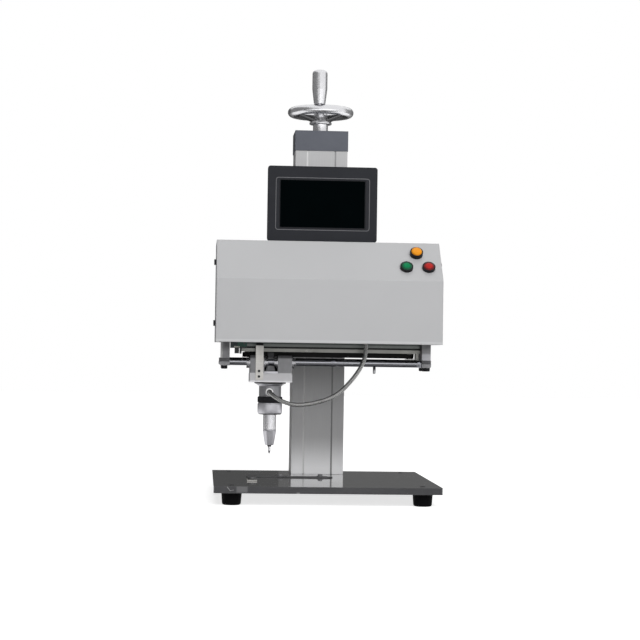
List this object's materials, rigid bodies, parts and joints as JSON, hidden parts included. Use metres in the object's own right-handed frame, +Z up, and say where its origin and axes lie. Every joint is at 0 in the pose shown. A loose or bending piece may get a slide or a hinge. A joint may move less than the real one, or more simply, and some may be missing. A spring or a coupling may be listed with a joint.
{
  "type": "nameplate marking machine",
  "caption": "Bench dot-marking machine: a head on a column, raised by a handwheel, with an X-Y gantry and an electromagnetic stylus over a square base, touch screen and push buttons.",
  "frame": {"origin": "on the floor, under the middle of the machine's outer box, which is 8 mm behind the middle of the base plate", "axes": "+X to the right seen from the front, +Y to the back, +Z up"},
  "size_m": [0.4, 0.416, 0.8097],
  "materials": {
    "base_paint": "semi-gloss dark grey",
    "foot_rubber": "moulded black",
    "anodised": "satin anodised",
    "cap_paint": "blue-grey coat",
    "dark_aluminium": "black anodised",
    "machined": "turned and milled",
    "cast": "grey milled casting",
    "wheel_metal": "satin plated",
    "rod_chrome": "hard chrome",
    "steel": "turned",
    "dark_steel": "blackened",
    "bronze": "bronze and copper",
    "cover_paint": "fine powder coat, light grey",
    "charcoal_plastic": "fine grain",
    "screen": "black glossy panel",
    "board_green": "coated circuit board",
    "black_plastic": "black moulded",
    "motor_black": "black painted laminations",
    "white_plastic": "white moulded",
    "hose_metal": "wound steel hose",
    "belt_rubber": "toothed belt",
    "amber_lens": "translucent",
    "green_lens": "translucent",
    "red_lens": "translucent"
  },
  "bodies": {
    "stand": {"base_plate": "base_paint", "foot_front_left": "foot_rubber", "foot_front_right": "foot_rubber", "foot_rear_left": "foot_rubber", "foot_rear_right": "foot_rubber", "column_profile": "anodised", "column_front_strip": "anodised", "column_foot_block": "dark_aluminium", "column_cap": "cap_paint"},
    "back_stop": {"stop_bar": "dark_steel"},
    "side_stop": {"stop_block": "steel"},
    "handwheel": {"lead_screw": "steel", "handwheel": "wheel_metal", "handle_pin": "steel"},
    "grip": {"handle_grip": "wheel_metal"},
    "head": {"lift_slider": "dark_aluminium", "lead_nut": "bronze", "head_back_plate": "dark_aluminium", "head_frame": "dark_aluminium", "y_rod_left": "rod_chrome", "y_rod_right": "rod_chrome", "y_motor": "motor_black", "control_board": "board_green", "power_inlet": "black_plastic", "head_cover": "cover_paint", "hmi_case": "charcoal_plastic", "hmi_display": "screen", "button_collar_top": "black_plastic", "button_collar_left": "black_plastic", "button_collar_right": "black_plastic"},
    "button_top": {"button_cap_top": "amber_lens"},
    "button_left": {"button_cap_left": "green_lens"},
    "button_right": {"button_cap_right": "red_lens"},
    "y_screw": {"y_screw": "steel"},
    "gantry": {"gantry_bracket_left": "cast", "gantry_bracket_right": "cast", "x_rod_front": "rod_chrome", "x_rod_rear": "rod_chrome", "stop_pin": "dark_steel", "x_beam": "anodised", "x_motor": "motor_black", "x_belt": "belt_rubber", "sensor_board": "board_green", "stylus_hose": "hose_metal"},
    "x_drive": {"x_drive_pulley": "machined"},
    "x_idler": {"x_idler_pulley": "machined"},
    "carriage": {"carriage_block": "cast", "sensor_flag": "machined", "bearing_front_left": "steel", "bearing_front_right": "steel", "bearing_rear": "steel", "solenoid_housing": "machined", "solenoid_coil": "bronze", "cable_gland": "white_plastic", "lock_ring": "black_plastic", "guide_tube": "machined", "nose_cone": "steel", "return_spring": "steel"},
    "stroke_ring": {"stroke_ring": "machined"},
    "needle": {"needle": "steel"}
  },
  "joints": [
    {"name": "handwheel_turn", "type": "hinge", "parent": "stand", "child": "handwheel", "pos_m": [0, 0.1455, 0.72], "axis": [0, 0, 1], "range_deg": [-10801, 3169]},
    {"name": "handle_spin", "type": "hinge", "parent": "handwheel", "child": "grip", "pos_m": [-0.00598, 0.09133, 0.77], "axis": [0, 0, 1], "continuous": true},
    {"name": "head_lift", "type": "slide", "parent": "stand", "child": "head", "axis": [0, 0, 1], "range_m": [-0.044, 0.15]},
    {"name": "gantry_y", "type": "slide", "parent": "head", "child": "gantry", "axis": [0, 1, 0], "range_m": [-0.04, 0.06]},
    {"name": "y_screw_turn", "type": "hinge", "parent": "head", "child": "y_screw", "pos_m": [0.02, -0.06, 0.31], "axis": [0, 1, 0], "range_deg": [-2160, 1440]},
    {"name": "carriage_x", "type": "slide", "parent": "gantry", "child": "carriage", "axis": [1, 0, 0], "range_m": [-0.019, 0.14]},
    {"name": "x_drive_turn", "type": "hinge", "parent": "gantry", "child": "x_drive", "pos_m": [-0.1425, -0.066, 0.265], "axis": [0, 0, 1], "range_deg": [-161, 1181]},
    {"name": "x_idler_turn", "type": "hinge", "parent": "gantry", "child": "x_idler", "pos_m": [0.1548, -0.066, 0.262], "axis": [0, 0, 1], "range_deg": [-161, 1181]},
    {"name": "needle_stroke", "type": "slide", "parent": "carriage", "child": "needle", "axis": [0, 0, 1], "range_m": [-0.004, 0], "stiffness_N_per_m": 1000, "springref_m": 0.004, "deforming": ["return_spring"]},
    {"name": "stroke_ring_turn", "type": "hinge", "parent": "carriage", "child": "stroke_ring", "pos_m": [-0.099, -0.066, 0.165], "axis": [0, 0, 1], "range_deg": [-180, 180]},
    {"name": "button_top_press", "type": "slide", "parent": "head", "child": "button_top", "axis": [0, 0.7368, -0.6761], "range_m": [0, 0.003], "stiffness_N_per_m": 400, "springref_m": -0.002},
    {"name": "button_left_press", "type": "slide", "parent": "head", "child": "button_left", "axis": [0, 0.7368, -0.6761], "range_m": [0, 0.003], "stiffness_N_per_m": 400, "springref_m": -0.002},
    {"name": "button_right_press", "type": "slide", "parent": "head", "child": "button_right", "axis": [0, 0.7368, -0.6761], "range_m": [0, 0.003], "stiffness_N_per_m": 400, "springref_m": -0.002},
    {"name": "back_stop_slide", "type": "slide", "parent": "stand", "child": "back_stop", "axis": [1, 0, 0], "range_m": [-0.01, 0.01]},
    {"name": "side_stop_slide", "type": "slide", "parent": "stand", "child": "side_stop", "axis": [0, 1, 0], "range_m": [-0.01, 0.01]}
  ],
  "couplings": [
    {"joint": "handwheel_turn", "follows": "head_lift", "rad_per_m": -1256.6},
    {"joint": "y_screw_turn", "follows": "gantry_y", "rad_per_m": -628.3},
    {"joint": "x_drive_turn", "follows": "carriage_x", "rad_per_m": 147.06},
    {"joint": "x_idler_turn", "follows": "carriage_x", "rad_per_m": 147.06}
  ]
}
